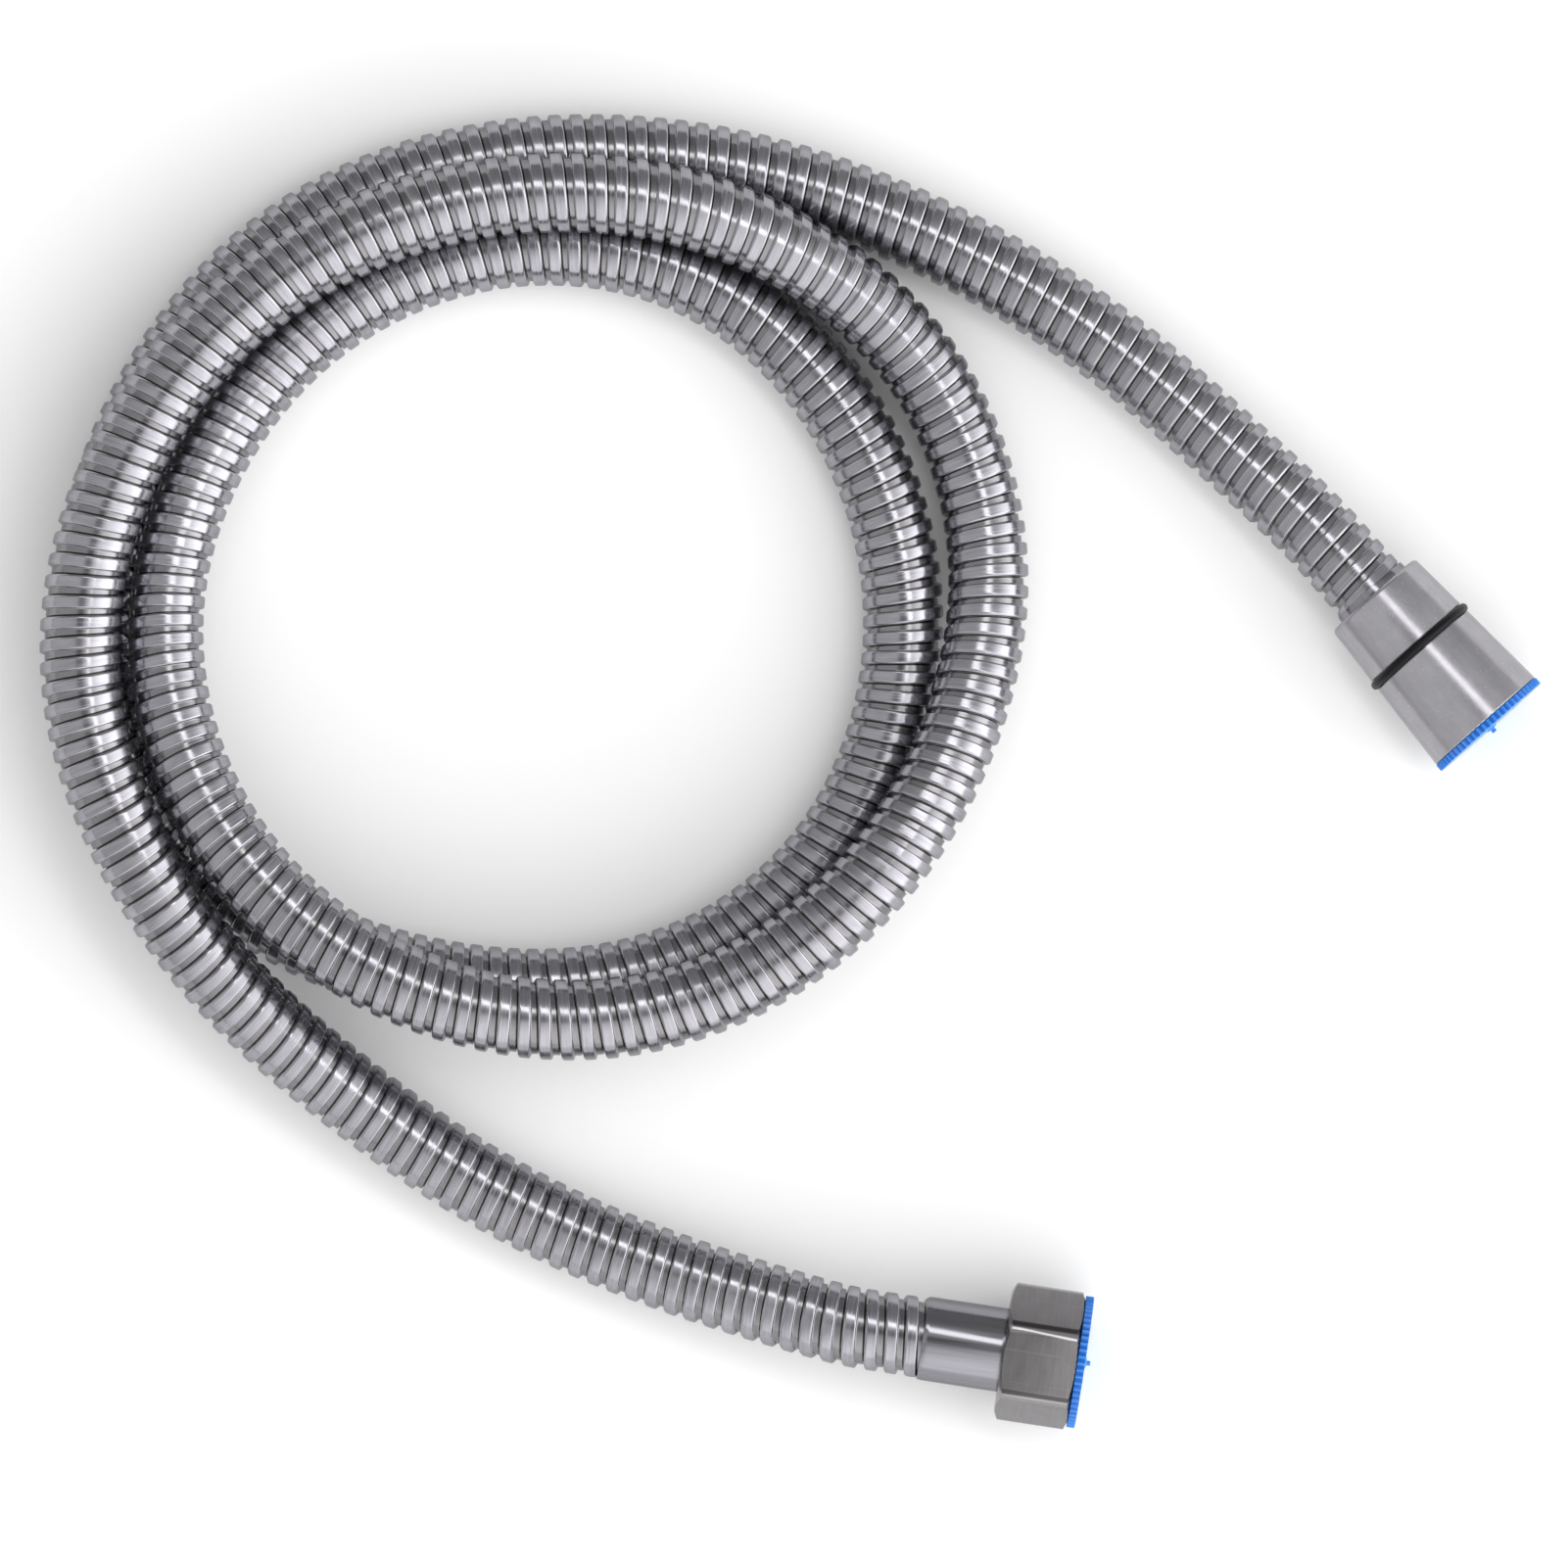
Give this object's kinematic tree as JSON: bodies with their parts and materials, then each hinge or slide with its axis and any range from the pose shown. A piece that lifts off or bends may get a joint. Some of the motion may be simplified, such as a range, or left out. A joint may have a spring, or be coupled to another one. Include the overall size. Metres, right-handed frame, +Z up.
{
  "type": "shower hose",
  "caption": "Flexible metal shower hose lying in a loose coil, with a conical swivel nut at one end, a hexagon nut at the other and a plastic cap in each.",
  "frame": {"origin": "the point on the floor under the middle of the coiled hose's box", "axes": "+Z up from the floor, with the hose lying as it came to rest; +X along the longer side of its outline, towards the conical end; +Y to its left, seen from above"},
  "size_m": [0.2717, 0.2388, 0.0294],
  "materials": {
    "hose_casing": "polished stainless steel strip, wound and interlocked",
    "inner_tube": "smooth black rubber",
    "cone_nut": "satin metal",
    "cone_o_ring": "black rubber",
    "cone_sleeve": "polished",
    "cone_core": "turned",
    "cone_slip_ring": "plain",
    "cone_washer": "matt black",
    "cone_cap": "moulded, azure blue",
    "hex_nut": "satin metal with fine turning lines",
    "hex_sleeve": "polished",
    "hex_core": "turned",
    "hex_slip_ring": "plain",
    "hex_washer": "matt black",
    "hex_cap": "moulded, azure blue"
  },
  "bodies": {
    "hose": {"hose_casing": "hose_casing", "inner_tube": "inner_tube", "cone_sleeve": "cone_sleeve", "cone_core": "cone_core", "hex_sleeve": "hex_sleeve", "hex_core": "hex_core"},
    "cone_nut": {"cone_nut": "cone_nut", "cone_o_ring": "cone_o_ring", "cone_slip_ring": "cone_slip_ring", "cone_washer": "cone_washer"},
    "cone_cap": {"cone_cap": "cone_cap"},
    "hex_nut": {"hex_nut": "hex_nut", "hex_slip_ring": "hex_slip_ring", "hex_washer": "hex_washer"},
    "hex_cap": {"hex_cap": "hex_cap"}
  },
  "joints": [
    {"name": "cone_nut_swivel", "type": "hinge", "parent": "hose", "child": "cone_nut", "pos_m": [0.10514, 0.03324, 0.01094], "axis": [0.6622, -0.7485, 0.0344], "continuous": true},
    {"name": "cone_cap_pull", "type": "slide", "parent": "cone_nut", "child": "cone_cap", "axis": [0.6622, -0.7485, 0.0344], "range_m": [0, 0.01]},
    {"name": "hex_nut_swivel", "type": "hinge", "parent": "hose", "child": "hex_nut", "pos_m": [0.02405, -0.1026, 0.01205], "axis": [0.9885, -0.1513, 0], "continuous": true},
    {"name": "hex_cap_pull", "type": "slide", "parent": "hex_nut", "child": "hex_cap", "axis": [0.9885, -0.1513, 0], "range_m": [0, 0.01]}
  ]
}
